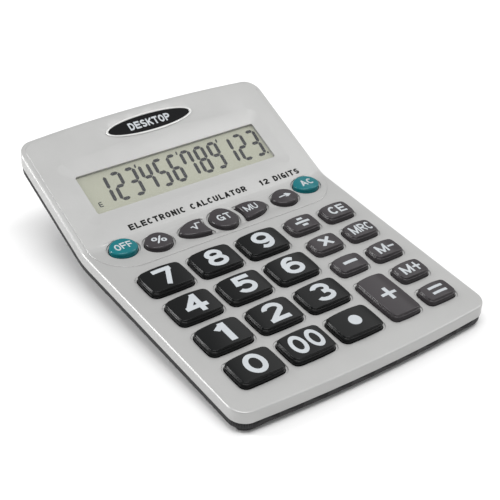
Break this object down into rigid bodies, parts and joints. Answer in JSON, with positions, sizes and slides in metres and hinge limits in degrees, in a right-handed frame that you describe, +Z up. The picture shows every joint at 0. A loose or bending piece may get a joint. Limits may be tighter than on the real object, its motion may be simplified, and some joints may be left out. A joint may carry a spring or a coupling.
{
  "type": "desk calculator",
  "caption": "Desk calculator with a gently sloping keyboard deck, a steeper display deck, sprung keys, a window over a liquid-crystal display and a sliding battery door.",
  "frame": {"origin": "middle of the footprint on the table, at the bottom of the rubber feet", "axes": "+X to the user's right, +Y from the user to the back, +Z up"},
  "size_m": [0.14, 0.1863, 0.0512],
  "materials": {
    "cover": "fine satin silver-grey moulding",
    "case": "black fine-textured moulding",
    "lens": "clear polished acrylic",
    "glass": "grey-green reflective display glass",
    "frame": "moulded frame",
    "ribbon": "thin amber film",
    "bright_rim": "bright plated ring",
    "badge": "gloss black printed plate",
    "sheet": "moulded silicone",
    "board": "green solder mask",
    "chip": "black potting and packages",
    "cell": "printed steel can",
    "contact": "nickel-plated spring strip",
    "lead": "insulated wire",
    "rubber": "soft black rubber",
    "screw": "zinc-plated steel",
    "big_key": "near-black semi-gloss key cap",
    "small_key": "dark warm grey semi-gloss key cap",
    "teal_key": "glossy teal key cap"
  },
  "bodies": {
    "housing": {"badge_plate": "badge", "badge_rim": "bright_rim", "battery_cell": "cell", "battery_leads": "lead", "board_components": "chip", "bottom_case": "case", "case_screws": "screw", "controller_chip": "chip", "display_frame": "frame", "display_glass": "glass", "display_lens": "lens", "display_ribbon": "ribbon", "frame_screws": "screw", "keypad_sheet": "sheet", "main_board": "board", "plate_contact": "contact", "rubber_feet": "rubber", "spring_contact": "contact", "top_cover": "cover"},
    "battery_door": {"battery_door": "case"},
    "key_cap_0": {"key_0": "big_key"},
    "key_cap_00": {"key_00": "big_key"},
    "key_cap_1": {"key_1": "big_key"},
    "key_cap_2": {"key_2": "big_key"},
    "key_cap_3": {"key_3": "big_key"},
    "key_cap_4": {"key_4": "big_key"},
    "key_cap_5": {"key_5": "big_key"},
    "key_cap_6": {"key_6": "big_key"},
    "key_cap_7": {"key_7": "big_key"},
    "key_cap_8": {"key_8": "big_key"},
    "key_cap_9": {"key_9": "big_key"},
    "key_cap_ac": {"key_ac": "teal_key"},
    "key_cap_arrow": {"key_arrow": "small_key"},
    "key_cap_ce": {"key_ce": "small_key"},
    "key_cap_divide": {"key_divide": "small_key"},
    "key_cap_equals": {"key_equals": "small_key"},
    "key_cap_gt": {"key_gt": "small_key"},
    "key_cap_m_minus": {"key_m_minus": "small_key"},
    "key_cap_m_plus": {"key_m_plus": "small_key"},
    "key_cap_minus": {"key_minus": "small_key"},
    "key_cap_mrc": {"key_mrc": "small_key"},
    "key_cap_mu": {"key_mu": "small_key"},
    "key_cap_multiply": {"key_multiply": "small_key"},
    "key_cap_off": {"key_off": "teal_key"},
    "key_cap_percent": {"key_percent": "small_key"},
    "key_cap_plus": {"key_plus": "small_key"},
    "key_cap_point": {"key_point": "big_key"},
    "key_cap_root": {"key_root": "small_key"}
  },
  "joints": [
    {"name": "key_0_press", "type": "slide", "parent": "housing", "child": "key_cap_0", "axis": [0, 0.0872, -0.9962], "range_m": [0, 0.0012], "stiffness_N_per_m": 400, "deforming": ["keypad_sheet"]},
    {"name": "key_00_press", "type": "slide", "parent": "housing", "child": "key_cap_00", "axis": [0, 0.0872, -0.9962], "range_m": [0, 0.0012], "stiffness_N_per_m": 400, "deforming": ["keypad_sheet"]},
    {"name": "key_1_press", "type": "slide", "parent": "housing", "child": "key_cap_1", "axis": [0, 0.0872, -0.9962], "range_m": [0, 0.0012], "stiffness_N_per_m": 400, "deforming": ["keypad_sheet"]},
    {"name": "key_2_press", "type": "slide", "parent": "housing", "child": "key_cap_2", "axis": [0, 0.0872, -0.9962], "range_m": [0, 0.0012], "stiffness_N_per_m": 400, "deforming": ["keypad_sheet"]},
    {"name": "key_3_press", "type": "slide", "parent": "housing", "child": "key_cap_3", "axis": [0, 0.0872, -0.9962], "range_m": [0, 0.0012], "stiffness_N_per_m": 400, "deforming": ["keypad_sheet"]},
    {"name": "key_4_press", "type": "slide", "parent": "housing", "child": "key_cap_4", "axis": [0, 0.0872, -0.9962], "range_m": [0, 0.0012], "stiffness_N_per_m": 400, "deforming": ["keypad_sheet"]},
    {"name": "key_5_press", "type": "slide", "parent": "housing", "child": "key_cap_5", "axis": [0, 0.0872, -0.9962], "range_m": [0, 0.0012], "stiffness_N_per_m": 400, "deforming": ["keypad_sheet"]},
    {"name": "key_6_press", "type": "slide", "parent": "housing", "child": "key_cap_6", "axis": [0, 0.0872, -0.9962], "range_m": [0, 0.0012], "stiffness_N_per_m": 400, "deforming": ["keypad_sheet"]},
    {"name": "key_7_press", "type": "slide", "parent": "housing", "child": "key_cap_7", "axis": [0, 0.0872, -0.9962], "range_m": [0, 0.0012], "stiffness_N_per_m": 400, "deforming": ["keypad_sheet"]},
    {"name": "key_8_press", "type": "slide", "parent": "housing", "child": "key_cap_8", "axis": [0, 0.0872, -0.9962], "range_m": [0, 0.0012], "stiffness_N_per_m": 400, "deforming": ["keypad_sheet"]},
    {"name": "key_9_press", "type": "slide", "parent": "housing", "child": "key_cap_9", "axis": [0, 0.0872, -0.9962], "range_m": [0, 0.0012], "stiffness_N_per_m": 400, "deforming": ["keypad_sheet"]},
    {"name": "key_ac_press", "type": "slide", "parent": "housing", "child": "key_cap_ac", "axis": [0, 0.0872, -0.9962], "range_m": [0, 0.0012], "stiffness_N_per_m": 350, "deforming": ["keypad_sheet"]},
    {"name": "key_arrow_press", "type": "slide", "parent": "housing", "child": "key_cap_arrow", "axis": [0, 0.0872, -0.9962], "range_m": [0, 0.0012], "stiffness_N_per_m": 350, "deforming": ["keypad_sheet"]},
    {"name": "key_ce_press", "type": "slide", "parent": "housing", "child": "key_cap_ce", "axis": [0, 0.0872, -0.9962], "range_m": [0, 0.0012], "stiffness_N_per_m": 350, "deforming": ["keypad_sheet"]},
    {"name": "key_divide_press", "type": "slide", "parent": "housing", "child": "key_cap_divide", "axis": [0, 0.0872, -0.9962], "range_m": [0, 0.0012], "stiffness_N_per_m": 350, "deforming": ["keypad_sheet"]},
    {"name": "key_equals_press", "type": "slide", "parent": "housing", "child": "key_cap_equals", "axis": [0, 0.0872, -0.9962], "range_m": [0, 0.0012], "stiffness_N_per_m": 350, "deforming": ["keypad_sheet"]},
    {"name": "key_gt_press", "type": "slide", "parent": "housing", "child": "key_cap_gt", "axis": [0, 0.0872, -0.9962], "range_m": [0, 0.0012], "stiffness_N_per_m": 350, "deforming": ["keypad_sheet"]},
    {"name": "key_m_minus_press", "type": "slide", "parent": "housing", "child": "key_cap_m_minus", "axis": [0, 0.0872, -0.9962], "range_m": [0, 0.0012], "stiffness_N_per_m": 350, "deforming": ["keypad_sheet"]},
    {"name": "key_m_plus_press", "type": "slide", "parent": "housing", "child": "key_cap_m_plus", "axis": [0, 0.0872, -0.9962], "range_m": [0, 0.0012], "stiffness_N_per_m": 350, "deforming": ["keypad_sheet"]},
    {"name": "key_minus_press", "type": "slide", "parent": "housing", "child": "key_cap_minus", "axis": [0, 0.0872, -0.9962], "range_m": [0, 0.0012], "stiffness_N_per_m": 350, "deforming": ["keypad_sheet"]},
    {"name": "key_mrc_press", "type": "slide", "parent": "housing", "child": "key_cap_mrc", "axis": [0, 0.0872, -0.9962], "range_m": [0, 0.0012], "stiffness_N_per_m": 350, "deforming": ["keypad_sheet"]},
    {"name": "key_mu_press", "type": "slide", "parent": "housing", "child": "key_cap_mu", "axis": [0, 0.0872, -0.9962], "range_m": [0, 0.0012], "stiffness_N_per_m": 350, "deforming": ["keypad_sheet"]},
    {"name": "key_multiply_press", "type": "slide", "parent": "housing", "child": "key_cap_multiply", "axis": [0, 0.0872, -0.9962], "range_m": [0, 0.0012], "stiffness_N_per_m": 350, "deforming": ["keypad_sheet"]},
    {"name": "key_off_press", "type": "slide", "parent": "housing", "child": "key_cap_off", "axis": [0, 0.0872, -0.9962], "range_m": [0, 0.0012], "stiffness_N_per_m": 350, "deforming": ["keypad_sheet"]},
    {"name": "key_percent_press", "type": "slide", "parent": "housing", "child": "key_cap_percent", "axis": [0, 0.0872, -0.9962], "range_m": [0, 0.0012], "stiffness_N_per_m": 350, "deforming": ["keypad_sheet"]},
    {"name": "key_plus_press", "type": "slide", "parent": "housing", "child": "key_cap_plus", "axis": [0, 0.0872, -0.9962], "range_m": [0, 0.0012], "stiffness_N_per_m": 350, "deforming": ["keypad_sheet"]},
    {"name": "key_point_press", "type": "slide", "parent": "housing", "child": "key_cap_point", "axis": [0, 0.0872, -0.9962], "range_m": [0, 0.0012], "stiffness_N_per_m": 400, "deforming": ["keypad_sheet"]},
    {"name": "key_root_press", "type": "slide", "parent": "housing", "child": "key_cap_root", "axis": [0, 0.0872, -0.9962], "range_m": [0, 0.0012], "stiffness_N_per_m": 350, "deforming": ["keypad_sheet"]},
    {"name": "battery_door_slide", "type": "slide", "parent": "housing", "child": "battery_door", "axis": [0, 1, 0], "range_m": [0, 0.03]}
  ]
}
